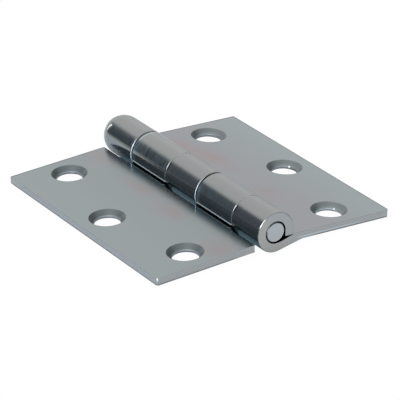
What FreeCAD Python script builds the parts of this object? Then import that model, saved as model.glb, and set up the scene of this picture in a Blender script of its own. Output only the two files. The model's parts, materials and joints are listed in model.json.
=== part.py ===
"""A loose-pin broad butt hinge in zinc-plated steel, lying open with its countersunk faces up.

Three pieces: a left leaf and a right leaf, each stamped from one sheet whose tongues dip under
the pin and roll back over it, and the pin, whose bullet head fills the last bay of the barrel.
X runs across the leaves, Y along the pin towards its head and Z up. The origin is under the pin,
midway along the whole hinge with its head, on the surface that the barrel lies on. Each leaf is
drawn flat, with the pin's axis as its own Y axis and its plate towards its own +X, then turned
into place.
"""
import FreeCAD
import Part
import math
import os
import Sketcher

V = FreeCAD.Vector
START, END, CENTRE = range(1, 4)
AXES, VERTICAL_AXIS = -1, -2

# millimetres and degrees
SIZES = [
    # the leaves, seen from above
    ("leaf_length", 75.0),       # along the pin
    ("leaf_reach", 37.5),        # from the pin's axis to a leaf's outer edge
    ("leaf_thickness", 2.05),
    ("leaf_drop", 1.63),         # from the pin's axis down to a flat leaf's upper face
    ("leaf_droop", 2.5),         # how far each leaf hangs below level as it lies
    ("corner_radius", 0.8),      # the outer corners at the barrel's open end
    # the pin
    ("pin_radius", 2.88),
    ("pin_clearance", 0.32),     # all round, inside the knuckles
    ("pin_bevel", 0.25),         # at its flat end
    ("head_radius", 5.8),
    ("head_rim", 0.4),           # rounding of the head's flat side
    # the barrel
    ("knuckle_wall", 2.55),
    ("knuckle_bevel", 0.15),
    ("end_bay", 12.5),           # the right leaf's end knuckle, and the head's bay
    ("middle_knuckle", 14.9),
    ("knuckle_gap", 0.06),       # at the tight end of each of the left leaf's knuckles
    ("knuckle_play", 0.54),      # at its loose end
    ("notch_clearance", 1.1),    # from the barrel to the plate's edge beside it
    # the sheet where it dips under the pin and comes back round it
    ("crank_angle", 13.5),       # lower face
    ("crank_radius", 9.0),
    ("throat_angle", 17.5),      # upper face
    ("throat_radius", 9.0),
    ("shoulder_radius", 3.0),    # where the upper face levels out
    ("left_tip_gap", 0.62),      # from the rolled tip down to the sheet below it
    ("right_tip_gap", 0.1),
    # the screw holes
    ("screw_radius", 3.65),
    ("countersink_radius", 5.1),
    ("countersink_angle", 90.0),
    ("hole_from_end", 8.2),      # the outer two, from the leaf's ends
    ("hole_from_edge", 14.15),   # the outer two, from the leaf's outer edge
    ("middle_from_edge", 8.25),  # the middle one, from the leaf's outer edge
]

doc = FreeCAD.newDocument("broad_butt_hinge")
sheet = doc.addObject("Spreadsheet::Sheet", "Sizes")
for row, (name, value) in enumerate(SIZES, start=1):
    sheet.set(f"A{row}", name)
    sheet.set(f"B{row}", str(value))
    sheet.setAlias(f"B{row}", name)
doc.recompute()

# lengths that several pieces share, as rules on the sheet's names
BORE = "(Sizes.pin_radius + Sizes.pin_clearance)"
BARREL = f"({BORE} + Sizes.knuckle_wall)"
NOTCH_EDGE = f"({BARREL} + Sizes.notch_clearance)"
HALF_LENGTH = "(Sizes.leaf_length / 2)"
BAY_EDGE = f"({HALF_LENGTH} - Sizes.end_bay)"
HALF_MIDDLE = "(Sizes.middle_knuckle / 2)"
LEAF_MIDDLE = "(-Sizes.head_radius / 2)"
AXIS_HEIGHT = f"max({BARREL}; Sizes.head_radius)"
LEFT_KNUCKLE = f"({BAY_EDGE} - {HALF_MIDDLE} - Sizes.knuckle_gap - Sizes.knuckle_play)"


def size(name):
    return sheet.get(name)


def bore_radius():
    return size("pin_radius") + size("pin_clearance")


def barrel_radius():
    return bore_radius() + size("knuckle_wall")


def new_sketch(body, name, role):
    """A sketch on one of the body's own origin planes."""
    sketch = body.newObject("Sketcher::SketchObject", name)
    base = next(f for f in body.Origin.OriginFeatures if f.Role == role)
    sketch.AttachmentSupport = [(base, "")]
    sketch.MapMode = "FlatFace"
    return sketch


def line(sketch, start, end, construction=False):
    return sketch.addGeometry(Part.LineSegment(V(*start, 0), V(*end, 0)), construction)


def arc(sketch, centre, radius, first, last):
    """An arc that runs anticlockwise between two angles in degrees."""
    circle = Part.Circle(V(*centre, 0), V(0, 0, 1), radius)
    return sketch.addGeometry(Part.ArcOfCircle(circle, math.radians(first), math.radians(last)))


def tie(sketch, kind, *places):
    sketch.addConstraint(Sketcher.Constraint(kind, *places))


def measure(sketch, kind, *places, rule, guess=1.0):
    """A sized constraint whose value follows a rule on the sheet."""
    index = sketch.addConstraint(Sketcher.Constraint(kind, *places, guess))
    sketch.setExpression(f"Constraints[{index}]", rule)


def draw_plate(body):
    """The flat plate's outline, from the notched edge beside the barrel to the outer edge."""
    sketch = new_sketch(body, "PlateOutline", "XY_Plane")
    sketch.setExpression("AttachmentOffset.Base.z", "-Sizes.leaf_drop")
    inner = barrel_radius() + size("notch_clearance")
    outer = size("leaf_reach")
    half = size("leaf_length") / 2
    corners = [(inner, -half), (outer, -half), (outer, half), (inner, half)]
    near, side, far, notch = [line(sketch, corners[i], corners[(i + 1) % 4]) for i in range(4)]
    edges = [near, side, far, notch]
    for edge, following in zip(edges, edges[1:] + edges[:1]):
        tie(sketch, "Coincident", edge, END, following, START)
    for edge in (near, far):
        tie(sketch, "Horizontal", edge)
    for edge in (side, notch):
        tie(sketch, "Vertical", edge)
    measure(sketch, "DistanceX", AXES, START, near, START, rule=NOTCH_EDGE, guess=inner)
    measure(sketch, "DistanceX", AXES, START, near, END, rule="Sizes.leaf_reach", guess=outer)
    measure(sketch, "DistanceY", near, START, AXES, START, rule=HALF_LENGTH, guess=half)
    measure(sketch, "DistanceY", AXES, START, far, START, rule=HALF_LENGTH, guess=half)
    pad = body.newObject("PartDesign::Pad", "Plate")
    pad.Profile = sketch
    pad.Reversed = True
    pad.setExpression("Length", "Sizes.leaf_thickness")
    doc.recompute()


def round_corner(body, end):
    """Rounds the plate's outer corner at one end, +1 or -1 along the body's own Y."""
    corner = V(size("leaf_reach"), end * size("leaf_length") / 2, -size("leaf_drop"))
    plate = body.Tip
    edge = next(
        i for i, e in enumerate(plate.Shape.Edges, start=1)
        if abs(e.tangentAt(e.FirstParameter).z) > 0.99
        and e.CenterOfMass.distanceToPoint(corner) < size("leaf_thickness")
    )
    fillet = body.newObject("PartDesign::Fillet", "OuterCorner")
    fillet.Base = (plate, [f"Edge{edge}"])
    fillet.setExpression("Radius", "Sizes.corner_radius")
    doc.recompute()


def draw_knuckle(body, name, high_end, length, tip_gap):
    """One tongue: cranked down from the plate, under the pin, round it and back to the plate.

    high_end is a rule for the end with the greater Y, and length a rule for its length.
    """
    sketch = new_sketch(body, name + "Section", "XZ_Plane")
    sketch.setExpression("AttachmentOffset.Base.z", f"-{high_end}")
    bore = bore_radius()
    barrel = barrel_radius()
    top = -size("leaf_drop")
    bottom = top - size("leaf_thickness")
    crank = size("crank_angle")
    throat = size("throat_angle")
    throat_slope = math.tan(math.radians(throat))
    crank_slope = math.tan(math.radians(crank))

    # first guesses for the points where straight and round stretches meet
    throat_end = (
        size("throat_radius") * math.sin(math.radians(throat)),
        -bore + size("throat_radius") * (1 - math.cos(math.radians(throat))),
    )
    shoulder = throat_end[0] + (top - throat_end[1]) / throat_slope
    crank_start = (barrel * math.sin(math.radians(crank)), -barrel * math.cos(math.radians(crank)))
    crank_end = crank_start[0] + (bottom - crank_start[1]) / crank_slope
    under_tip = throat_end[1] + (barrel - throat_end[0]) * throat_slope
    tip = under_tip + size(tip_gap)

    upper_face = line(sketch, (crank_end, top), (shoulder, top))
    shoulder_centre = (shoulder, top - size("shoulder_radius"))
    shoulder_arc = arc(sketch, shoulder_centre, size("shoulder_radius"), 90, 90 + throat)
    throat_line = line(sketch, throat_end, (shoulder, top))
    throat_centre = (0, -bore + size("throat_radius"))
    throat_arc = arc(sketch, throat_centre, size("throat_radius"), -90, -90 + throat)
    bore_arc = arc(sketch, (0, 0), bore, 0, 270)
    tip_inside = line(sketch, (bore, 0), (bore, tip))
    tip_end = line(sketch, (bore, tip), (barrel, tip))
    tip_outside = line(sketch, (barrel, tip), (barrel, 0))
    barrel_arc = arc(sketch, (0, 0), barrel, 0, 270 + crank)
    crank_line = line(sketch, crank_start, (crank_end, bottom))
    crank_centre = (crank_end, bottom - size("crank_radius"))
    crank_arc = arc(sketch, crank_centre, size("crank_radius"), 90, 90 + crank)
    inside_plate = line(sketch, (crank_end, bottom), (crank_end, top))
    gap_line = line(sketch, (barrel, tip), (barrel, under_tip), construction=True)

    tie(sketch, "Tangent", upper_face, END, shoulder_arc, START)
    tie(sketch, "Tangent", shoulder_arc, END, throat_line, END)
    tie(sketch, "Tangent", throat_line, START, throat_arc, END)
    tie(sketch, "Tangent", throat_arc, START, bore_arc, END)
    tie(sketch, "Tangent", bore_arc, START, tip_inside, START)
    tie(sketch, "Coincident", tip_inside, END, tip_end, START)
    tie(sketch, "Coincident", tip_end, END, tip_outside, START)
    tie(sketch, "Tangent", tip_outside, END, barrel_arc, START)
    tie(sketch, "Tangent", barrel_arc, END, crank_line, START)
    tie(sketch, "Tangent", crank_line, END, crank_arc, END)
    tie(sketch, "Perpendicular", crank_arc, START, inside_plate, START)
    tie(sketch, "Coincident", inside_plate, END, upper_face, START)
    for level in (upper_face, tip_end):
        tie(sketch, "Horizontal", level)
    for upright in (tip_inside, tip_outside, inside_plate, gap_line):
        tie(sketch, "Vertical", upright)
    tie(sketch, "Coincident", bore_arc, CENTRE, AXES, START)
    tie(sketch, "Coincident", barrel_arc, CENTRE, AXES, START)
    tie(sketch, "PointOnObject", throat_arc, CENTRE, VERTICAL_AXIS)
    tie(sketch, "Coincident", gap_line, START, tip_outside, START)
    tie(sketch, "PointOnObject", gap_line, END, throat_line)

    measure(sketch, "Radius", bore_arc, rule=BORE, guess=bore)
    measure(sketch, "Radius", barrel_arc, rule=BARREL, guess=barrel)
    for curve, radius in ((shoulder_arc, "shoulder"), (throat_arc, "throat"), (crank_arc, "crank")):
        measure(sketch, "Radius", curve, rule=f"Sizes.{radius}_radius", guess=size(radius + "_radius"))
    for slope, angle in ((throat_line, "throat_angle"), (crank_line, "crank_angle")):
        measure(sketch, "Angle", slope, rule=f"Sizes.{angle} * 1deg", guess=math.radians(size(angle)))
    measure(sketch, "DistanceY", upper_face, START, AXES, START, rule="Sizes.leaf_drop", guess=-top)
    measure(sketch, "DistanceY", inside_plate, START, inside_plate, END,
            rule="Sizes.leaf_thickness", guess=top - bottom)
    measure(sketch, "Distance", gap_line, rule=f"Sizes.{tip_gap}", guess=size(tip_gap))

    pad = body.newObject("PartDesign::Pad", name)
    pad.Profile = sketch
    pad.setExpression("Length", length)
    doc.recompute()


def bevel_knuckles(body):
    """A small bevel on the outer rim at both ends of every knuckle."""
    rolled = body.Tip
    rims = [
        f"Edge{i}" for i, e in enumerate(rolled.Shape.Edges, start=1)
        if isinstance(e.Curve, Part.Circle)
        and abs(e.Curve.Radius - barrel_radius()) < 1e-6
        and abs(e.Curve.Axis.y) > 0.99
    ]
    bevel = body.newObject("PartDesign::Chamfer", "KnuckleBevels")
    bevel.Base = (rolled, rims)
    bevel.setExpression("Size", "Sizes.knuckle_bevel")
    doc.recompute()


def drill_holes(body):
    """Three countersunk holes: two near the ends and one nearer the outer edge between them."""
    sketch = new_sketch(body, "HoleCentres", "XY_Plane")
    sketch.setExpression("AttachmentOffset.Base.z", "-Sizes.leaf_drop")
    end_y = f"({HALF_LENGTH} - Sizes.hole_from_end)"
    reach = size("leaf_reach")
    outer_x = reach - size("hole_from_edge")
    half_pitch = size("leaf_length") / 2 - size("hole_from_end")
    places = [(outer_x, -half_pitch), (reach - size("middle_from_edge"), 0), (outer_x, half_pitch)]
    near, middle, far = [
        sketch.addGeometry(Part.Circle(V(x, y, 0), V(0, 0, 1), size("screw_radius"))) for x, y in places
    ]
    for hole, edge_rule in ((near, "hole_from_edge"), (middle, "middle_from_edge"), (far, "hole_from_edge")):
        measure(sketch, "Radius", hole, rule="Sizes.screw_radius", guess=size("screw_radius"))
        measure(sketch, "DistanceX", AXES, START, hole, CENTRE,
                rule=f"Sizes.leaf_reach - Sizes.{edge_rule}", guess=reach - size(edge_rule))
    measure(sketch, "DistanceY", near, CENTRE, AXES, START, rule=end_y, guess=half_pitch)
    measure(sketch, "DistanceY", AXES, START, far, CENTRE, rule=end_y, guess=half_pitch)
    tie(sketch, "PointOnObject", middle, CENTRE, AXES)
    doc.recompute()
    hole = body.newObject("PartDesign::Hole", "ScrewHoles")
    hole.Profile = sketch
    doc.recompute()
    hole.DepthType = "ThroughAll"
    hole.HoleCutType = "Countersink"
    hole.HoleCutCustomValues = True
    hole.setExpression("Diameter", "2 * Sizes.screw_radius")
    hole.setExpression("HoleCutDiameter", "2 * Sizes.countersink_radius")
    hole.setExpression("HoleCutCountersinkAngle", "Sizes.countersink_angle * 1deg")
    doc.recompute()


def lay_down(body):
    """Lays the pin's axis over the origin, with the length from the open end to the dome centred."""
    body.setExpression("Placement.Base.y", LEAF_MIDDLE)
    body.setExpression("Placement.Base.z", AXIS_HEIGHT)


def make_leaf(label, knuckles, tip_gap, open_end, heading):
    """One leaf. knuckles holds a name and rules for the high end and the length of each.

    open_end is the end with the rounded corner, along the body's own Y, and heading the angle
    about Z that points its plate to its own side.
    """
    body = doc.addObject("PartDesign::Body", label)
    body.Label = label
    for name, high_end, length in knuckles:
        draw_knuckle(body, name, high_end, length, tip_gap)
    bevel_knuckles(body)
    draw_plate(body)
    round_corner(body, open_end)
    drill_holes(body)
    lay_down(body)
    body.setExpression(
        "Placement.Rotation",
        f"rotation(vector(0; 0; 1); {heading}deg) * rotation(vector(0; 1; 0); Sizes.leaf_droop * 1deg)",
    )
    return body


def make_pin():
    """The pin: a plain shank with a bevelled flat end, and a bullet head with a rounded rim."""
    body = doc.addObject("PartDesign::Body", "pin")
    body.Label = "pin"
    sketch = new_sketch(body, "PinProfile", "XY_Plane")
    shank = size("pin_radius")
    head = size("head_radius")
    bevel = size("pin_bevel")
    rim = size("head_rim")
    tail = -size("leaf_length") / 2
    seat = size("leaf_length") / 2 - size("end_bay")
    dome = size("leaf_length") / 2

    axis = line(sketch, (0, dome + head), (0, tail))
    flat_end = line(sketch, (0, tail), (shank - bevel, tail))
    bevel_line = line(sketch, (shank - bevel, tail), (shank, tail + bevel))
    shank_side = line(sketch, (shank, tail + bevel), (shank, seat))
    head_seat = line(sketch, (shank, seat), (head - rim, seat))
    rim_arc = arc(sketch, (head - rim, seat + rim), rim, -90, 0)
    head_side = line(sketch, (head, seat + rim), (head, dome))
    dome_arc = arc(sketch, (0, dome), head, 0, 90)

    tie(sketch, "Coincident", axis, END, flat_end, START)
    tie(sketch, "Coincident", flat_end, END, bevel_line, START)
    tie(sketch, "Coincident", bevel_line, END, shank_side, START)
    tie(sketch, "Coincident", shank_side, END, head_seat, START)
    tie(sketch, "Tangent", head_seat, END, rim_arc, START)
    tie(sketch, "Tangent", rim_arc, END, head_side, START)
    tie(sketch, "Tangent", head_side, END, dome_arc, START)
    tie(sketch, "Coincident", dome_arc, END, axis, START)
    for level in (flat_end, head_seat):
        tie(sketch, "Horizontal", level)
    for upright in (axis, shank_side, head_side):
        tie(sketch, "Vertical", upright)
    tie(sketch, "PointOnObject", axis, END, VERTICAL_AXIS)
    tie(sketch, "PointOnObject", dome_arc, CENTRE, VERTICAL_AXIS)

    measure(sketch, "DistanceY", axis, END, AXES, START, rule=HALF_LENGTH, guess=-tail)
    measure(sketch, "DistanceX", AXES, START, shank_side, START, rule="Sizes.pin_radius", guess=shank)
    for way in ("DistanceX", "DistanceY"):
        measure(sketch, way, bevel_line, START, bevel_line, END, rule="Sizes.pin_bevel", guess=bevel)
    measure(sketch, "DistanceY", AXES, START, head_seat, START, rule=BAY_EDGE, guess=seat)
    measure(sketch, "Radius", rim_arc, rule="Sizes.head_rim", guess=rim)
    measure(sketch, "Radius", dome_arc, rule="Sizes.head_radius", guess=head)
    measure(sketch, "DistanceY", AXES, START, dome_arc, CENTRE, rule=HALF_LENGTH, guess=dome)

    turned = body.newObject("PartDesign::Revolution", "TurnedPin")
    turned.Profile = sketch
    turned.ReferenceAxis = (sketch, ["V_Axis"])
    turned.Angle = 360
    doc.recompute()
    lay_down(body)
    return body


# The right leaf's knuckles are the middle one and the one at the open end. The left leaf's two
# lie between, pushed against their neighbours on the open side. That leaf is turned half round,
# so its own Y runs towards the open end.
right_knuckles = [
    ("MiddleKnuckle", HALF_MIDDLE, "Sizes.middle_knuckle"),
    ("EndKnuckle", f"(-{BAY_EDGE})", "Sizes.end_bay"),
]
left_knuckles = [
    ("HeadSideKnuckle", f"(-{HALF_MIDDLE} - Sizes.knuckle_gap)", LEFT_KNUCKLE),
    ("OpenSideKnuckle", f"({BAY_EDGE} - Sizes.knuckle_gap)", LEFT_KNUCKLE),
]
pieces = [
    make_leaf("left_leaf", left_knuckles, "left_tip_gap", open_end=1, heading=180),
    make_leaf("right_leaf", right_knuckles, "right_tip_gap", open_end=-1, heading=0),
    make_pin(),
]
doc.recompute()

for item in doc.Objects:
    if "Invalid" in item.State or "Error" in item.State:
        raise RuntimeError(f"{item.Label} failed: {item.State}")
for piece in pieces:
    if piece.Shape.isNull() or not piece.Shape.isValid() or len(piece.Shape.Solids) != 1:
        raise RuntimeError(f"{piece.Label} is not one valid solid")

os.makedirs("parts", exist_ok=True)
for piece in pieces:
    piece.Shape.exportStep(f"parts/{piece.Label}.step")
    print(piece.Label, round(piece.Shape.Volume, 3), piece.Shape.BoundBox)
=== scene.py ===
"""The finish, light and camera for an open butt hinge in zinc-plated steel on a white floor."""

import json
import math

import bpy
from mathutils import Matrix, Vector


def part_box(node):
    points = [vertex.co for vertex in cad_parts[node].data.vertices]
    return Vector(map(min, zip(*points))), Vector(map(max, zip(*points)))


MM = 0.001

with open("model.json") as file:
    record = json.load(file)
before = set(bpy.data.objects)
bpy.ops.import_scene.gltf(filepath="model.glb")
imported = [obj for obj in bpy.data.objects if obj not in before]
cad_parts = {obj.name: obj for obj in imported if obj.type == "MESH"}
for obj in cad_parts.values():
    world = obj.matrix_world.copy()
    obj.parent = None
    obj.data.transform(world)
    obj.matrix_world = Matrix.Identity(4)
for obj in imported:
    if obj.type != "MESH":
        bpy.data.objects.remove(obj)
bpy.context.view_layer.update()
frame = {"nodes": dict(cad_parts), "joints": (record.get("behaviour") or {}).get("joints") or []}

# the hinge's main places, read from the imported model, in metres; the pin's head is at the far end,
# towards +Y, and its flat end shows at the near end
leaf_low, leaf_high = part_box("left_leaf")
PIN_HEIGHT = frame["joints"][0]["pos_m"][2]
LEAF_MIDDLE = (leaf_low.y + leaf_high.y) / 2
LEAF_HALF = (leaf_high.y - leaf_low.y) / 2
OUTER_SIDE = -leaf_low.x

# how steeply each leaf falls away from the barrel
LEAF_DROOP = math.tan(math.radians(2.5))
# depths on a leaf, in millimetres below the pin's axis with the droop taken out
LEAF_TOPSIDE = 1.63
CONE_BOTTOM = 3.08
LEAF_UNDERSIDE = 3.68
# the outer corner of the left leaf's rolled tips, in millimetres beside and under the pin's axis
TIP_BESIDE = 5.69
TIP_BELOW = 1.37
# places along the pin, in millimetres from the leaves' middle: the joints between the knuckles,
# two with a gap and two closed, and the middle of the second knuckle
FAR_GAP = 24.77
NEAR_GAP = -7.70
CLOSED_JOINTS = (7.49, -24.95)
SECOND_KNUCKLE = 17.9

# the camera, round the pin's axis at the leaves' middle
VIEW_AZIMUTH = 213.56
VIEW_ELEVATION = 25.56
VIEW_DISTANCE = 808.4 * MM
AIM_RIGHT = 0.71 * MM
AIM_UP = -4.88 * MM
FRAME_PIXELS = 400
FOCAL_PIXELS = 2952.5
SENSOR = 36.0


def towards(azimuth, elevation):
    """A unit vector; azimuth 0 points to +Y and 90 to +X, both angles in degrees."""
    a, e = math.radians(azimuth), math.radians(elevation)
    return Vector((math.sin(a) * math.cos(e), math.cos(a) * math.cos(e), math.sin(e)))


def make_camera():
    back = towards(VIEW_AZIMUTH, VIEW_ELEVATION)
    right = (-back).cross(Vector((0, 0, 1))).normalized()
    up = right.cross(-back)
    data = bpy.data.cameras.new("camera")
    data.sensor_width = SENSOR
    data.lens = FOCAL_PIXELS / FRAME_PIXELS * SENSOR
    camera = bpy.data.objects.new("camera", data)
    pivot = Vector((0, LEAF_MIDDLE, PIN_HEIGHT))
    camera.location = pivot + back * VIEW_DISTANCE + right * AIM_RIGHT + up * AIM_UP
    camera.rotation_euler = (-back).to_track_quat("-Z", "Y").to_euler()
    bpy.context.scene.collection.objects.link(camera)
    bpy.context.scene.camera = camera


class Nodes:
    """A short way to write a node tree, where a value is a number or another node's socket."""

    def __init__(self, tree):
        self.tree = tree
        tree.nodes.clear()

    def add(self, kind, settings=None, **inputs):
        """A new node; an input with a space in its name is written with an underscore."""
        node = self.tree.nodes.new(kind)
        for key, value in (settings or {}).items():
            setattr(node, key, value)
        for key, value in inputs.items():
            self.put(node.inputs[key.replace("_", " ")], value)
        return node

    def put(self, socket, value):
        if isinstance(value, bpy.types.NodeSocket):
            self.tree.links.new(value, socket)
        else:
            socket.default_value = value

    def math(self, operation, *values, clamp=False):
        node = self.tree.nodes.new("ShaderNodeMath")
        node.operation = operation
        node.use_clamp = clamp
        for socket, value in zip(node.inputs, values):
            self.put(socket, value)
        return node.outputs[0]

    def plus(self, first, second):
        return self.math("ADD", first, second)

    def minus(self, first, second):
        return self.math("SUBTRACT", first, second)

    def times(self, first, *others):
        for other in others:
            first = self.math("MULTIPLY", first, other)
        return first

    def larger(self, first, second):
        return self.math("MAXIMUM", first, second)

    def absolute(self, value):
        return self.math("ABSOLUTE", value)

    def length(self, first, second):
        return self.math("SQRT", self.plus(self.times(first, first), self.times(second, second)))

    def separate(self, vector):
        outputs = self.add("ShaderNodeSeparateXYZ", Vector=vector).outputs
        return outputs["X"], outputs["Y"], outputs["Z"]

    def ramp(self, value, low, high, to_low=0.0, to_high=1.0):
        """A smooth step from to_low to to_high as value goes from low to high."""
        node = self.tree.nodes.new("ShaderNodeMapRange")
        node.interpolation_type = "SMOOTHSTEP"
        range_ends = {"From Min": low, "From Max": high, "To Min": to_low, "To Max": to_high}
        for name, number in range_ends.items():
            node.inputs[name].default_value = number
        self.put(node.inputs["Value"], value)
        return node.outputs["Result"]

    def ramp_mm(self, value, low, high, to_low=0.0, to_high=1.0):
        """A ramp over a length in metres, with low and high in millimetres."""
        return self.ramp(value, low * MM, high * MM, to_low, to_high)

    def noise(self, vector, scale, detail=2.0):
        return self.add("ShaderNodeTexNoise", Vector=vector, Scale=scale, Detail=detail).outputs["Fac"]

    def blend(self, factor, first, second):
        """Between two numbers."""
        return self.add("ShaderNodeMix", Factor=factor, A=first, B=second).outputs["Result"]

    def mix(self, factor, first, second, blend_type="MIX"):
        """Between two colours."""
        node = self.tree.nodes.new("ShaderNodeMix")
        node.data_type = "RGBA"
        node.blend_type = blend_type
        for name, value in (("Factor", factor), ("A", first), ("B", second)):
            self.put(node.inputs[name], value)
        return node.outputs["Result"]

    def shaders(self, factor, first, second):
        """Between two shaders."""
        node = self.tree.nodes.new("ShaderNodeMixShader")
        for socket, value in zip(node.inputs, (factor, first, second)):
            self.put(socket, value)
        return node.outputs["Shader"]


def new_material(name):
    """A material with no nodes but its output: the material, its nodes and the output's socket."""
    material = bpy.data.materials.new(name)
    material.use_nodes = True
    nodes = Nodes(material.node_tree)
    return material, nodes, nodes.add("ShaderNodeOutputMaterial").inputs["Surface"]


def rgb(red, green, blue):
    return (red, green, blue, 1.0)


def grey(level):
    return rgb(level, level, level)


# the plate: neutral near the barrel, greener towards its outer edge, with pink clouds; on the left
# leaf a painted bluish shade at the barrel's foot
ZINC_LEFT = rgb(0.283, 0.315, 0.325)
ZINC_RIGHT = rgb(0.289, 0.301, 0.320)
ZINC_OUTER = rgb(0.292, 0.335, 0.342)
ZINC_ROOT_SHADE = rgb(0.195, 0.255, 0.288)
ZINC_FOOT_SHADE = rgb(0.225, 0.300, 0.335)
ZINC_PINK = rgb(0.314, 0.256, 0.260)
# the barrel, browner on the right leaf's knuckles, and the pin's head, darker downwards: painted shade
# below its top and a bluer painted reflection at its bottom
ZINC_BARREL = rgb(0.300, 0.314, 0.311)
ZINC_BROWN = rgb(0.308, 0.300, 0.295)
ZINC_HEAD_SHADE = rgb(0.262, 0.268, 0.255)
ZINC_HEAD_LOW_REFLECTION = rgb(0.212, 0.244, 0.270)
SCRATCH_DARK = grey(0.52)
SCRATCH_BRIGHT = grey(1.60)
# the cut faces: the plates' ends, the knuckles' from lower left to upper right, the pin's, the outer
# sides with a painted bluish sheen, the sheared edges under the barrel in painted shade, and a lighter
# line along the leaves' outer top edges
ZINC_EDGE = rgb(0.326, 0.338, 0.348)
ZINC_END = rgb(0.344, 0.350, 0.340)
ZINC_END_TOP = rgb(0.318, 0.338, 0.350)
ZINC_PIN_END = rgb(0.380, 0.408, 0.430)
ZINC_SIDE_SHEEN = rgb(0.370, 0.408, 0.434)
ZINC_SHEARED_SHADE = rgb(0.15, 0.20, 0.23)
ZINC_TOP_EDGE_LINE = rgb(0.42, 0.47, 0.50)
# the screw holes: cones, with painted shade where they face +X, and the lands under them
ZINC_CONE = rgb(0.262, 0.287, 0.296)
ZINC_CONE_LOW = rgb(0.330, 0.365, 0.380)
ZINC_CONE_LEFT = rgb(0.208, 0.229, 0.237)
ZINC_CONE_SHADE = rgb(0.175, 0.190, 0.195)
ZINC_LAND = rgb(0.47, 0.52, 0.57)
ZINC_LAND_LEFT = rgb(0.345, 0.380, 0.420)
# painted glints, highlights and shades: on the knuckles' rims, the corners and tips, and beside the
# joints, from bright to dark
ZINC_GLINT = rgb(0.95, 0.96, 0.98)
ZINC_RIM_GLINT = rgb(0.85, 0.87, 0.88)
ZINC_RIM_HIGHLIGHT = rgb(0.52, 0.60, 0.66)
ZINC_TOP_HIGHLIGHT = rgb(0.50, 0.53, 0.53)
ZINC_LIT = rgb(0.44, 0.49, 0.52)
ZINC_SHOULDER_SHEEN = rgb(0.36, 0.39, 0.41)
ZINC_TIP_HIGHLIGHT = rgb(0.32, 0.38, 0.41)
ZINC_BLUE_SHEEN = rgb(0.27, 0.37, 0.44)
ZINC_OVER = rgb(0.24, 0.25, 0.26)
ZINC_SHADE = rgb(0.13, 0.14, 0.145)
ZINC_DEEP_SHADE = rgb(0.07, 0.08, 0.09)
ZINC_GAP_SHADE = rgb(0.02, 0.022, 0.025)

# the pink clouds: x and y of the middle and the reach in x and y, in millimetres from the leaves'
# middle, and how strong each is
LEFT_CLOUDS = [(-13.5, -7.0, 5.0, 10.0, 1.0), (-12.5, 8.0, 4.0, 13.0, 0.6), (-14.5, -33.0, 8.0, 9.0, 1.0),
               (-11.0, 33.0, 7.0, 9.0, 0.6)]
RIGHT_CLOUDS = [(12.0, 27.0, 5.0, 9.0, 0.8), (15.0, 15.0, 6.0, 16.0, 0.8), (15.0, -13.0, 6.0, 10.0, 0.5)]
# how much of a cloud is left between its streaks
CLOUD_THIN = 0.4
# painted glints at the bottom of the right leaf's cones: x, y and the reach in millimetres
GLINTS = [(32.24, 2.09, 0.42), (26.42, -27.35, 0.34)]

LEAF_ROUGHNESS = 0.21
BARREL_ROUGHNESS = 0.15
HEAD_LOW_ROUGHNESS = 0.27
CUT_ROUGHNESS = 0.38
HOLE_ROUGHNESS = 0.50
GRAIN_ROUGHNESS = 0.01
# how much of a mirror the clear rims are, and how much of it the painted blue sheen takes away
RIM_METAL = 0.6
SHEEN_METAL_LOSS = 0.12

EDGE_ROUNDING = 0.2 * MM
EDGE_SAMPLES = 6
GRAIN_DEPTH = 0.02 * MM
GRAIN_STRENGTH = 0.01
# how fine each pattern is, to the metre, and how far the scratches are drawn out round the barrel
STREAK_SCALE = 55.0
PATCH_SCALE = 420.0
GRAIN_SCALE = 900.0
SCRATCH_SCALE = 3300.0
SCRATCH_STRETCH = (0.03, 1.0, 0.03)


class Spot:
    """Where the shaded point lies on the hinge and which way it faces, lengths in metres."""

    def __init__(self, nodes):
        coordinates = nodes.add("ShaderNodeTexCoord").outputs
        self.place = coordinates["Object"]
        self.across, y, z = nodes.separate(self.place)
        self.facing_x, self.facing_y, self.facing_z = nodes.separate(coordinates["Normal"])
        # above the pin's axis, and straight away from it
        self.height = nodes.minus(z, PIN_HEIGHT)
        self.reach = nodes.length(self.across, self.height)
        droop = nodes.times(nodes.absolute(self.across), LEAF_DROOP)
        self.depth = nodes.times(nodes.plus(self.height, droop), -1.0)
        # along the pin, from the leaves' middle towards the far end, and in from the leaves' edges
        self.along = nodes.minus(y, LEAF_MIDDLE)
        self.from_middle = nodes.absolute(self.along)
        self.from_end = nodes.minus(LEAF_HALF, self.from_middle)
        self.from_near_end = nodes.plus(self.along, LEAF_HALF)
        self.from_far_end = nodes.minus(LEAF_HALF, self.along)
        self.from_side = nodes.minus(OUTER_SIDE, nodes.absolute(self.across))


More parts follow.
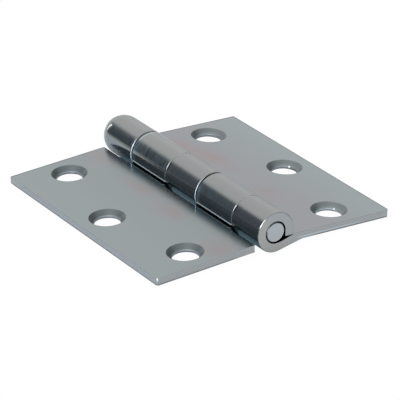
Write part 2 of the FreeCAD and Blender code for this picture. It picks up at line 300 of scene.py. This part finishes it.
class Zinc:
    """One piece's plating, built up in layers: each method lays its tones over those before it.

    A layer's mask is a product of ramps. A ramp's first two numbers are where it starts and where it
    is full: millimetres from the hinge's own axis, edges and faces, or a part of the surface's normal.
    Its third and fourth, where it has them, are its values there instead of 0 and 1.
    """

    def __init__(self, piece):
        self.piece = piece
        self.material, self.nodes, self.surface = new_material(piece + "_zinc")
        self.spot = Spot(self.nodes)
        self.on_barrel = self.nodes.ramp_mm(self.spot.reach, 6.6, 6.0)
        self.off_barrel = self.nodes.ramp_mm(self.spot.reach, 7, 9)
        self.colour = ZINC_BARREL
        self.metallic = 1.0
        self.roughness = self.nodes.blend(self.on_barrel, LEAF_ROUGHNESS, BARREL_ROUGHNESS)

    def lay(self, mask, tone, strength=1.0):
        """Put a tone over the colour where the mask is 1."""
        if strength < 1.0:
            mask = self.nodes.times(mask, strength)
        self.colour = self.nodes.mix(mask, self.colour, tone)

    def lay_bare(self, mask, tone):
        """Put a tone on that shows as paint, with no mirror in it."""
        self.lay(mask, tone)
        self.metallic = self.nodes.math("SUBTRACT", self.metallic, mask, clamp=True)

    def plate(self, base):
        """The flat sheet, greener towards its outer edge."""
        nodes, spot = self.nodes, self.spot
        self.colour = nodes.mix(nodes.ramp_mm(spot.reach, 17, 36), base, ZINC_OUTER)

    def barrel_foot_shade(self):
        """Painted bluish shade on the plate beside the barrel: bluest at the second and fourth bays, less
        so at the near end.
        """
        nodes, spot = self.nodes, self.spot
        root_shade = nodes.times(nodes.ramp_mm(spot.from_middle, 28, 22), nodes.ramp_mm(spot.from_middle, 5, 11),
                           nodes.ramp_mm(spot.reach, 11, 7))
        self.lay(root_shade, ZINC_ROOT_SHADE)
        foot_shade = nodes.times(nodes.ramp_mm(spot.from_middle, 23, 27), nodes.ramp_mm(spot.along, 34, 26),
                           nodes.ramp_mm(spot.reach, 10.5, 7.5))
        self.lay(foot_shade, ZINC_FOOT_SHADE)

    def clouds(self, ellipses):
        """Streaky pink clouds on the upper face, full in the middle of each ellipse."""
        nodes, spot = self.nodes, self.spot
        streaks = nodes.noise(spot.place, STREAK_SCALE)
        upper = nodes.ramp(spot.facing_z, 0.0, 0.5)
        for middle_x, middle_y, reach_x, reach_y, strength in ellipses:
            middle = (middle_x * MM, LEAF_MIDDLE + middle_y * MM, PIN_HEIGHT)
            local = nodes.add("ShaderNodeMapping", {"vector_type": "TEXTURE"}, Vector=spot.place,
                              Location=middle, Scale=(reach_x * MM, reach_y * MM, 1.0))
            away = nodes.add("ShaderNodeVectorMath", {"operation": "LENGTH"},
                             Vector=local.outputs["Vector"])
            cloud = nodes.ramp(away.outputs["Value"], 1.0, 0.0)
            streaky = nodes.ramp(streaks, 0.3, 0.6, CLOUD_THIN * strength, strength)
            self.lay(nodes.times(cloud, streaky, upper), ZINC_PINK)

    def right_knuckles(self):
        """The right leaf's part of the barrel, browner on its shoulders."""
        nodes, spot = self.nodes, self.spot
        brown = nodes.times(nodes.ramp_mm(spot.height, 4.6, 3.8), nodes.ramp_mm(spot.height, 0.5, 2.0))
        self.lay(self.on_barrel, nodes.mix(brown, ZINC_BARREL, ZINC_BROWN))

    def head(self):
        """The pin's head: painted shade on its sides, and a bluer painted reflection with a duller finish
        below.
        """
        nodes, spot = self.nodes, self.spot
        self.lay(nodes.ramp_mm(spot.height, 4.4, 3.4), ZINC_HEAD_SHADE)
        self.lay(nodes.ramp_mm(spot.height, 1.8, 0.6), ZINC_HEAD_LOW_REFLECTION)
        low = nodes.ramp_mm(spot.height, 1.2, -1.0)
        self.roughness = nodes.blend(low, self.roughness, HEAD_LOW_ROUGHNESS)

    def scratches(self):
        """Fine lines round the barrel's shoulders, most on the second knuckle and towards -X."""
        nodes, spot = self.nodes, self.spot
        drawn_out = nodes.add("ShaderNodeMapping", Vector=spot.place, Scale=SCRATCH_STRETCH)
        lines = nodes.ramp(nodes.noise(drawn_out.outputs["Vector"], SCRATCH_SCALE), 0.38, 0.62)
        patchy = nodes.ramp(nodes.noise(spot.place, PATCH_SCALE, detail=1.0), 0.35, 0.60)
        shoulder = nodes.times(nodes.ramp_mm(spot.height, 1.6, 2.6), nodes.ramp_mm(spot.height, 4.8, 4.1))
        from_second = nodes.absolute(nodes.minus(spot.along, SECOND_KNUCKLE * MM))
        second = nodes.ramp_mm(from_second, 11, 7, 0.25, 1.0)
        left = nodes.ramp_mm(spot.across, 1, -1, 0.35, 1.0)
        amount = nodes.times(patchy, second, shoulder, self.on_barrel, left)
        tones = nodes.mix(lines, SCRATCH_DARK, SCRATCH_BRIGHT)
        self.colour = nodes.mix(amount, self.colour, tones, "MULTIPLY")

    def cut_faces(self):
        """Faces that the press or the saw left: the ends with their rims, and the outer sides, brightened
        with a painted bluish sheen.
        """
        nodes, spot = self.nodes, self.spot
        end_cut = nodes.ramp(nodes.absolute(spot.facing_y), 0.25, 0.6)
        side_cut = nodes.times(nodes.ramp(nodes.absolute(spot.facing_x), 0.8, 0.95),
                               nodes.ramp_mm(spot.reach, 30, 32))
        ring = ZINC_PIN_END
        if self.piece != "pin":
            towards_plate = nodes.ramp_mm(nodes.plus(spot.across, spot.height), -1, 5)
            ring = nodes.mix(towards_plate, ZINC_END, ZINC_END_TOP)
        self.lay(end_cut, nodes.mix(self.on_barrel, ZINC_EDGE, ring))
        self.lay(side_cut, ZINC_SIDE_SHEEN)
        self.cut = nodes.larger(end_cut, side_cut)
        self.roughness = nodes.blend(self.cut, self.roughness, CUT_ROUGHNESS)

    def holes(self, cone_top, cone_low, land_tone):
        """The screw holes' cones, with painted shade darkest where they face +X, and the bright lands
        under them.
        """
        nodes, spot = self.nodes, self.spot
        past_barrel = nodes.ramp_mm(spot.reach, 12, 14)
        sunk = nodes.times(nodes.ramp(spot.facing_z, 0.5, 0.6), nodes.ramp(spot.facing_z, 0.9, 0.8),
                           past_barrel)
        lower = nodes.ramp_mm(spot.depth, LEAF_TOPSIDE + 0.7, LEAF_TOPSIDE + 1.3)
        cone = nodes.mix(lower, cone_top, cone_low)
        cone = nodes.mix(nodes.ramp(spot.facing_x, 0.1, 0.6), cone, ZINC_CONE_SHADE)
        if self.piece == "left_leaf":
            lowest = nodes.ramp_mm(spot.depth, CONE_BOTTOM - 0.25, CONE_BOTTOM - 0.15)
            cone = nodes.mix(lowest, cone, land_tone)
        self.lay(sunk, cone)
        land = nodes.times(nodes.ramp(nodes.absolute(spot.facing_z), 0.3, 0.2), past_barrel,
                           nodes.ramp_mm(spot.reach, 33, 31), nodes.ramp_mm(spot.from_end, 1, 2))
        self.lay(land, land_tone)
        self.roughness = nodes.blend(nodes.larger(sunk, land), self.roughness, HOLE_ROUGHNESS)

    def outer_edges(self):
        """A lighter line along the outer top edges, and painted shade lines on the upper face's far edges
        and along the underside.
        """
        nodes, spot = self.nodes, self.spot
        top_edge_line = nodes.times(nodes.ramp_mm(spot.from_side, 0.30, 0.10),
                           nodes.ramp_mm(spot.depth, LEAF_TOPSIDE + 0.35, LEAF_TOPSIDE + 0.15))
        self.lay(top_edge_line, ZINC_TOP_EDGE_LINE, strength=0.35)
        upper = nodes.times(nodes.ramp(spot.facing_z, 0.9, 0.97), nodes.ramp_mm(spot.depth, 2.6, 2.3),
                            self.off_barrel)
        far_edge = nodes.ramp_mm(spot.from_far_end, 0.50, 0.30)
        if self.piece == "right_leaf":
            far_edge = nodes.larger(far_edge, nodes.ramp_mm(spot.from_side, 0.40, 0.25))
        self.lay(nodes.times(upper, far_edge), ZINC_SHADE, strength=0.8)
        lower = nodes.times(self.cut, nodes.ramp_mm(spot.reach, 12, 15),
                            nodes.ramp_mm(spot.depth, LEAF_UNDERSIDE - 0.42, LEAF_UNDERSIDE - 0.28))
        self.lay(lower, ZINC_DEEP_SHADE, strength=0.55)

    def underside_highlight(self):
        """A painted highlight: a bright line over the dark one along the underside, weaker outwards."""
        nodes, spot = self.nodes, self.spot
        off_line = nodes.absolute(nodes.minus(spot.depth, (LEAF_UNDERSIDE - 0.62) * MM))
        line = nodes.times(nodes.ramp_mm(off_line, 0.24, 0.12), self.cut, self.off_barrel)
        self.lay(nodes.times(line, nodes.ramp_mm(spot.reach, 31, 22, 0.15, 0.55)), ZINC_RIM_HIGHLIGHT)

    def slanted(self):
        """1 on rounded and bevelled faces that slant towards the near end."""
        nodes, facing_y = self.nodes, self.spot.facing_y
        return nodes.times(nodes.ramp(facing_y, -0.3, -0.5), nodes.ramp(facing_y, -0.97, -0.9))

    def rim(self, tone):
        """Painted highlights and shades on the rounded rims towards the near end; on the right leaf and
        the head they mirror less.
        """
        nodes, spot = self.nodes, self.spot
        mask = nodes.times(self.slanted(), self.on_barrel, nodes.ramp_mm(spot.reach, 3.6, 4.4))
        self.lay(mask, tone)
        if self.piece != "left_leaf":
            self.metallic = nodes.blend(mask, 1.0, RIM_METAL)

    def left_rims(self):
        """Rims that lie against the next knuckle: a painted sheen at the shoulder, brighter at the top,
        painted shade lower down, and a painted glint on the near one.
        """
        nodes, spot = self.nodes, self.spot
        tone = nodes.mix(nodes.ramp_mm(spot.height, 4.8, 5.4), ZINC_SHOULDER_SHEEN, ZINC_TOP_HIGHLIGHT)
        tone = nodes.mix(nodes.ramp_mm(spot.height, 1.9, 3.5), ZINC_DEEP_SHADE, tone)
        near_glint = nodes.times(nodes.ramp_mm(spot.height, 3.1, 3.6), nodes.ramp_mm(spot.height, 4.2, 3.8),
                             nodes.ramp_mm(spot.along, 0, -10))
        self.rim(nodes.mix(near_glint, tone, ZINC_RIM_GLINT))

    def right_rims(self):
        """Painted highlights on rims that stand clear of the next knuckle, bright below the top; at the
        near end painted shade, with a painted glint on its left shoulder.
        """
        nodes, spot = self.nodes, self.spot
        tone = nodes.mix(nodes.ramp_mm(spot.height, 5.4, 4.7), ZINC_OVER, ZINC_RIM_HIGHLIGHT)
        lit = nodes.times(nodes.ramp_mm(spot.height, 2.3, 3.1), nodes.ramp_mm(spot.across, 0.5, -0.5))
        last = nodes.mix(lit, ZINC_DEEP_SHADE, ZINC_RIM_GLINT)
        last = nodes.mix(nodes.ramp_mm(spot.height, 4.3, 4.9), last, ZINC_OVER)
        self.rim(nodes.mix(nodes.ramp_mm(spot.from_near_end, 1.5, 1.0), tone, last))

    def head_rim(self):
        """The rim of the head's flat side, which stands clear of the first knuckle: a painted highlight,
        dimmer towards the top.
        """
        nodes, spot = self.nodes, self.spot
        tone = nodes.mix(nodes.ramp_mm(spot.height, 4.6, 3.9), ZINC_OVER, ZINC_RIM_HIGHLIGHT)
        self.rim(nodes.mix(nodes.ramp_mm(spot.height, 3.0, 3.6, 0.0, 0.45), tone, ZINC_OVER))

    def past_joints(self, joints, near, far, fade=0.2, edge=0.15):
        """1 on the barrel from near to far past any of the joints, on the near end's side of it."""
        nodes, spot = self.nodes, self.spot
        strip = 0.0
        for joint in joints:
            past = nodes.minus(joint * MM, spot.along)
            between = nodes.times(nodes.ramp_mm(past, near - edge, near),
                                  nodes.ramp_mm(past, far + fade, far))
            strip = nodes.larger(strip, between)
        return nodes.times(strip, self.on_barrel)

    def left_joints(self):
        """Past a gap: painted shade over the top of the near one, painted light over the far one, and a
        painted blue sheen below.
        """
        nodes, height = self.nodes, self.spot.height
        shade = self.past_joints([NEAR_GAP], near=0.10, far=0.45)
        self.lay(nodes.times(shade, nodes.ramp_mm(height, 3.9, 4.8)), ZINC_GAP_SHADE, strength=0.9)
        lit = self.past_joints([FAR_GAP], near=0.30, far=0.90, fade=0.4)
        self.lay(nodes.times(lit, nodes.ramp_mm(height, 2.0, 4.0)), ZINC_LIT, strength=0.9)
        sheen = self.past_joints([FAR_GAP, NEAR_GAP], near=0.20, far=0.50, fade=2.2)
        sheen = nodes.times(sheen, nodes.ramp_mm(height, 4.2, 2.8))
        self.lay(sheen, ZINC_BLUE_SHEEN, strength=0.8)
        self.metallic = nodes.minus(self.metallic, nodes.times(sheen, SHEEN_METAL_LOSS))

    def right_joints(self):
        """Past a closed joint: a shade under the glint of the rim before it."""
        nodes, height = self.nodes, self.spot.height
        level = nodes.times(nodes.ramp_mm(height, 2.0, 2.8), nodes.ramp_mm(height, 4.6, 3.9))
        shade = self.past_joints(CLOSED_JOINTS, near=0.10, far=0.70)
        self.lay(nodes.times(shade, level), ZINC_GAP_SHADE, strength=0.75)

    def corner_glint(self):
        """A painted glint on the left leaf's near outer corner."""
        nodes, spot = self.nodes, self.spot
        glint_mask = nodes.times(nodes.ramp_mm(spot.from_side, 0.45, 0.25),
                           nodes.ramp_mm(spot.from_near_end, 0.45, 0.25),
                           nodes.ramp_mm(spot.depth, 2.5, 2.2, 0.1, 1.0))
        self.lay_bare(glint_mask, ZINC_GLINT)

    def glints(self):
        """Painted glints: small bright spots at the bottom of the right leaf's cones."""
        nodes, spot = self.nodes, self.spot
        for x, y, size in GLINTS:
            middle_z = PIN_HEIGHT - (CONE_BOTTOM + x * LEAF_DROOP) * MM
            apart = nodes.add("ShaderNodeVectorMath", {"operation": "DISTANCE"})
            nodes.put(apart.inputs[0], spot.place)
            nodes.put(apart.inputs[1], (x * MM, LEAF_MIDDLE + y * MM, middle_z))
            self.lay_bare(nodes.ramp_mm(apart.outputs["Value"], size, 0.5 * size), ZINC_GLINT)

    def tip_highlight(self):
        """A painted highlight on the outer corner of the left leaf's rolled tips."""
        nodes, spot = self.nodes, self.spot
        beside = nodes.plus(spot.across, TIP_BESIDE * MM)
        above = nodes.plus(spot.height, TIP_BELOW * MM)
        self.lay_bare(nodes.ramp_mm(nodes.length(beside, above), 0.36, 0.24), ZINC_TIP_HIGHLIGHT)

    def shade_joint_faces(self):
        """Painted shade on the faces inside the joints."""
        nodes, spot = self.nodes, self.spot
        inside = nodes.times(nodes.ramp(nodes.absolute(spot.facing_y), 0.9, 0.98),
                             nodes.ramp_mm(spot.from_end, 0.5, 1.5), self.on_barrel)
        self.lay(inside, ZINC_GAP_SHADE)

    def bore(self):
        """Painted shade on the rolled sheet's inner side, lighter at its mouth, and on the sheared edges
        under it.
        """
        nodes, spot = self.nodes, self.spot
        bore_shade = nodes.times(nodes.ramp(nodes.absolute(spot.facing_y), 0.6, 0.3),
                              nodes.ramp_mm(spot.reach, 5.2, 4.8))
        mouth = nodes.times(nodes.ramp_mm(spot.from_near_end, 0.6, 0.3),
                            nodes.ramp_mm(spot.height, -1.0, 0.5))
        self.lay(bore_shade, nodes.mix(mouth, ZINC_GAP_SHADE, ZINC_OVER))
        sheared_shade = nodes.times(nodes.ramp(nodes.absolute(spot.facing_x), 0.7, 0.9),
                              nodes.ramp_mm(spot.reach, 12, 11), nodes.ramp_mm(spot.reach, 5.9, 6.1),
                              nodes.ramp_mm(spot.height, -1.4, -1.6))
        self.lay(sheared_shade, ZINC_SHEARED_SHADE)

    def pin_bevel(self):
        """The bevel round the pin's flat end, with painted shade towards its upper left."""
        nodes, spot = self.nodes, self.spot
        bevel = nodes.times(self.slanted(), nodes.ramp_mm(spot.reach, 3.6, 3.2))
        upper_left = nodes.ramp_mm(nodes.minus(spot.height, spot.across), 0.5, 2.0)
        self.lay(bevel, nodes.mix(upper_left, ZINC_OVER, ZINC_SHADE))

    def finish(self):
        """Fine grain and rounded edges, and the material that all the layers make."""
        nodes = self.nodes
        grain = nodes.noise(self.spot.place, GRAIN_SCALE, detail=3.0)
        uneven = nodes.ramp(grain, 0.3, 0.7, -GRAIN_ROUGHNESS, GRAIN_ROUGHNESS)
        rounded = nodes.add("ShaderNodeBevel", {"samples": EDGE_SAMPLES}, Radius=EDGE_ROUNDING)
        bump = nodes.add("ShaderNodeBump", Strength=GRAIN_STRENGTH, Distance=GRAIN_DEPTH, Height=grain,
                         Normal=rounded.outputs["Normal"])
        shader = nodes.add("ShaderNodeBsdfPrincipled", Base_Color=self.colour, Metallic=self.metallic,
                           Roughness=nodes.plus(self.roughness, uneven), Normal=bump.outputs["Normal"])
        nodes.put(self.surface, shader.outputs["BSDF"])
        return self.material


def left_leaf_zinc():
    zinc = Zinc("left_leaf")
    zinc.plate(ZINC_LEFT)
    zinc.barrel_foot_shade()
    zinc.clouds(LEFT_CLOUDS)
    zinc.lay(zinc.on_barrel, ZINC_BARREL)
    zinc.scratches()
    zinc.cut_faces()
    zinc.holes(ZINC_CONE_LEFT, ZINC_CONE_LEFT, ZINC_LAND_LEFT)
    zinc.outer_edges()
    zinc.left_rims()
    zinc.left_joints()
    zinc.corner_glint()
    zinc.tip_highlight()
    zinc.shade_joint_faces()
    zinc.bore()
    return zinc.finish()


def right_leaf_zinc():
    zinc = Zinc("right_leaf")
    zinc.plate(ZINC_RIGHT)
    zinc.clouds(RIGHT_CLOUDS)
    zinc.right_knuckles()
    zinc.scratches()
    zinc.cut_faces()
    zinc.holes(ZINC_CONE, ZINC_CONE_LOW, ZINC_LAND)
    zinc.outer_edges()
    zinc.underside_highlight()
    zinc.right_rims()
    zinc.right_joints()
    zinc.glints()
    zinc.shade_joint_faces()
    zinc.bore()
    return zinc.finish()


def pin_zinc():
    zinc = Zinc("pin")
    zinc.head()
    zinc.scratches()
    zinc.cut_faces()
    zinc.head_rim()
    zinc.shade_joint_faces()
    zinc.pin_bevel()
    return zinc.finish()


def dress(node, material):
    mesh = frame["nodes"][node].data
    mesh.materials.clear()
    mesh.materials.append(material)


WHITE = grey(1.0)
FLOOR_HALF = 4.0
# the floor's paint, which is lit and keeps the shadow, and how much of the floor is a plain glow
# instead: for the camera, in mirrors, and in mirrors under the barrel
PAINT = grey(0.9)
CAMERA_GLOW = 0.98
MIRROR_GLOW = 0.30
UNDER_GLOW = 0.45
# the floor as the metal mirrors it: painted reflection tones, with painted teal shade under the barrel
PAPER = rgb(0.95, 0.98, 1.0)
PAPER_LEFT = rgb(0.07, 0.085, 0.095)
PAPER_RIGHT = rgb(0.62, 0.64, 0.64)
PAPER_UNDER_SHADE = rgb(0.24, 0.36, 0.44)
# how far the patch beside the pin's head lightens the dark paper, and the slope of its edge
PATCH = 0.7
PATCH_SKEW = 1.15


def mirrored_paper(nodes, across, y, under):
    """A painted reflection: dark to the left, but for a patch beside the pin's head, greyer to the right,
    teal painted shade underneath.
    """
    skew = nodes.plus(y, nodes.times(across, PATCH_SKEW))
    patch = nodes.ramp_mm(skew, 8, 26, 0.0, PATCH)
    left = nodes.times(nodes.ramp_mm(across, -36, -54), nodes.minus(1.0, patch))
    right = nodes.times(nodes.ramp_mm(across, 4, 18), nodes.ramp_mm(y, -30, 0))
    tone = nodes.mix(right, PAPER, PAPER_RIGHT)
    tone = nodes.mix(left, tone, PAPER_LEFT)
    return nodes.mix(under, tone, PAPER_UNDER_SHADE)


def make_floor():
    """White paint with a glow, which leaves out the strip under the barrel and its notches."""
    material, nodes, surface = new_material("floor")
    across, y, _ = nodes.separate(nodes.add("ShaderNodeTexCoord").outputs["Object"])
    along = nodes.minus(y, LEAF_MIDDLE)
    from_near_end = nodes.plus(along, LEAF_HALF)
    from_far_end = nodes.minus(LEAF_HALF, along)
    from_end = nodes.minus(LEAF_HALF, nodes.absolute(along))
    path = nodes.add("ShaderNodeLightPath").outputs
    seen = path["Is Camera Ray"]
    mirrored = nodes.larger(path["Is Glossy Ray"], path["Is Transmission Ray"])

    under = nodes.times(nodes.ramp_mm(nodes.absolute(across), 12, 9.5), nodes.ramp_mm(from_end, 1, 3))
    tone = mirrored_paper(nodes, across, y, under)
    paint = nodes.add("ShaderNodeBsdfDiffuse", Color=nodes.mix(mirrored, PAINT, tone))
    glow = nodes.add("ShaderNodeEmission", Color=nodes.mix(mirrored, WHITE, tone), Strength=1.0)

    # where the floor glows: beside the barrel and beyond its ends, and further in for the camera
    beside = nodes.ramp_mm(nodes.absolute(across), 7.5, 9.0)
    beyond = nodes.larger(nodes.ramp_mm(from_far_end, -12, -16), nodes.ramp_mm(from_near_end, 5, 4))
    further_in = nodes.larger(nodes.ramp_mm(from_far_end, 1.5, 0.5),
                              nodes.ramp_mm(from_near_end, 6.8, 6.0))
    beyond = nodes.larger(beyond, nodes.times(further_in, seen))
    strength = nodes.plus(nodes.times(seen, CAMERA_GLOW), nodes.times(mirrored, MIRROR_GLOW))
    share = nodes.times(nodes.larger(beside, beyond), strength)
    share = nodes.larger(share, nodes.times(under, mirrored, UNDER_GLOW))
    mixed = nodes.shaders(share, paint.outputs["BSDF"], glow.outputs["Emission"])
    # seen from underneath the floor isn't there
    clear = nodes.add("ShaderNodeBsdfTransparent").outputs["BSDF"]
    underneath = nodes.add("ShaderNodeNewGeometry").outputs["Backfacing"]
    nodes.put(surface, nodes.shaders(underneath, mixed, clear))

    mesh = bpy.data.meshes.new("floor")
    corners = [(x * FLOOR_HALF, y * FLOOR_HALF, 0) for x, y in ((-1, -1), (1, -1), (1, 1), (-1, 1))]
    mesh.from_pydata(corners, [], [(0, 1, 2, 3)])
    mesh.materials.append(material)
    floor = bpy.data.objects.new("floor", mesh)
    bpy.context.scene.collection.objects.link(floor)


def make_world():
    world = bpy.data.worlds.new("studio")
    bpy.context.scene.world = world
    world.use_nodes = True
    nodes = Nodes(world.node_tree)
    out = nodes.add("ShaderNodeOutputWorld")
    background = nodes.add("ShaderNodeBackground", Color=WHITE, Strength=1.0)
    nodes.put(out.inputs["Surface"], background.outputs["Background"])


CARD_DISTANCE = 2.0
CARD_STEPS = 16
CARD_DARK = rgb(0.135, 0.172, 0.205)
CARD_LOW = rgb(0.72, 0.74, 0.75)
CARD_FRONT = rgb(0.50, 0.56, 0.57)
CARD_RIGHT = rgb(0.12, 0.15, 0.16)


def card_material(name, colour, azimuths, elevations, fades):
    """The card's colour inside its fades, and the white room's at its edges."""
    material, nodes, surface = new_material(name)
    angles = nodes.add("ShaderNodeUVMap", {"uv_map": "angles"}).outputs["UV"]
    azimuth, elevation, _ = nodes.separate(angles)
    left, right, lower, upper = fades
    share = nodes.times(nodes.ramp(azimuth, azimuths[0], azimuths[0] + left),
                        nodes.ramp(azimuth, azimuths[1], azimuths[1] - right),
                        nodes.ramp(elevation, elevations[0], elevations[0] + lower),
                        nodes.ramp(elevation, elevations[1], elevations[1] - upper))
    glow = nodes.add("ShaderNodeEmission", Color=nodes.mix(share, WHITE, colour), Strength=1.0)
    nodes.put(surface, glow.outputs["Emission"])
    return material


def make_card(name, colour, azimuths, elevations, fades):
    """A studio card seen only in reflections, which glows in its own colour as a painted reflection and
    fades into the white room towards its edges.

    Angles are in degrees, azimuths from +Y towards +X. fades gives how far in from its left,
    right, lower and upper edge the card reaches its own colour.
    """
    angles = []
    for i in range(CARD_STEPS + 1):
        azimuth = azimuths[0] + (azimuths[1] - azimuths[0]) * i / CARD_STEPS
        for j in range(CARD_STEPS + 1):
            angles.append((azimuth, elevations[0] + (elevations[1] - elevations[0]) * j / CARD_STEPS))
    row = CARD_STEPS + 1
    faces = [(i * row + j, (i + 1) * row + j, (i + 1) * row + j + 1, i * row + j + 1)
             for i in range(CARD_STEPS) for j in range(CARD_STEPS)]
    mesh = bpy.data.meshes.new(name)
    mesh.from_pydata([towards(*pair) * CARD_DISTANCE for pair in angles], [], faces)
    uv = mesh.uv_layers.new(name="angles")
    for loop in mesh.loops:
        uv.data[loop.index].uv = angles[loop.vertex_index]
    mesh.materials.append(card_material(name, colour, azimuths, elevations, fades))
    card = bpy.data.objects.new(name, mesh)
    bpy.context.scene.collection.objects.link(card)
    card.visible_camera = False
    card.visible_diffuse = False
    card.visible_shadow = False


def make_lamp(name, azimuth, elevation, distance, width, height, watts):
    """A soft box that faces the hinge; azimuth from +Y towards +X."""
    data = bpy.data.lights.new(name, "AREA")
    data.shape = "RECTANGLE"
    data.size = width
    data.size_y = height
    data.energy = watts
    lamp = bpy.data.objects.new(name, data)
    lamp.location = towards(azimuth, elevation) * distance
    lamp.rotation_euler = (-towards(azimuth, elevation)).to_track_quat("-Z", "Y").to_euler()
    lamp.visible_camera = False
    bpy.context.scene.collection.objects.link(lamp)


dress("left_leaf", left_leaf_zinc())
dress("right_leaf", right_leaf_zinc())
dress("pin", pin_zinc())
make_floor()
make_world()
make_card("dark_card", CARD_DARK, azimuths=(-90, 0), elevations=(-6, 40), fades=(10, 22, 4, 11))
make_card("low_card", CARD_LOW, azimuths=(-8, 75), elevations=(-6, 20), fades=(10, 10, 4, 16))
make_card("front_card", CARD_FRONT, azimuths=(120, 290), elevations=(30, 85), fades=(20, 20, 15, 15))
make_card("right_card", CARD_RIGHT, azimuths=(64, 140), elevations=(5, 62), fades=(15, 15, 12, 12))
make_lamp("strip_light", azimuth=-126, elevation=19, distance=1.5, width=0.30, height=0.80, watts=9.0)
make_lamp("kicker", azimuth=-20, elevation=13, distance=1.5, width=0.16, height=0.62, watts=1.3)
make_camera()

bpy.context.scene.view_settings.view_transform = "Standard"
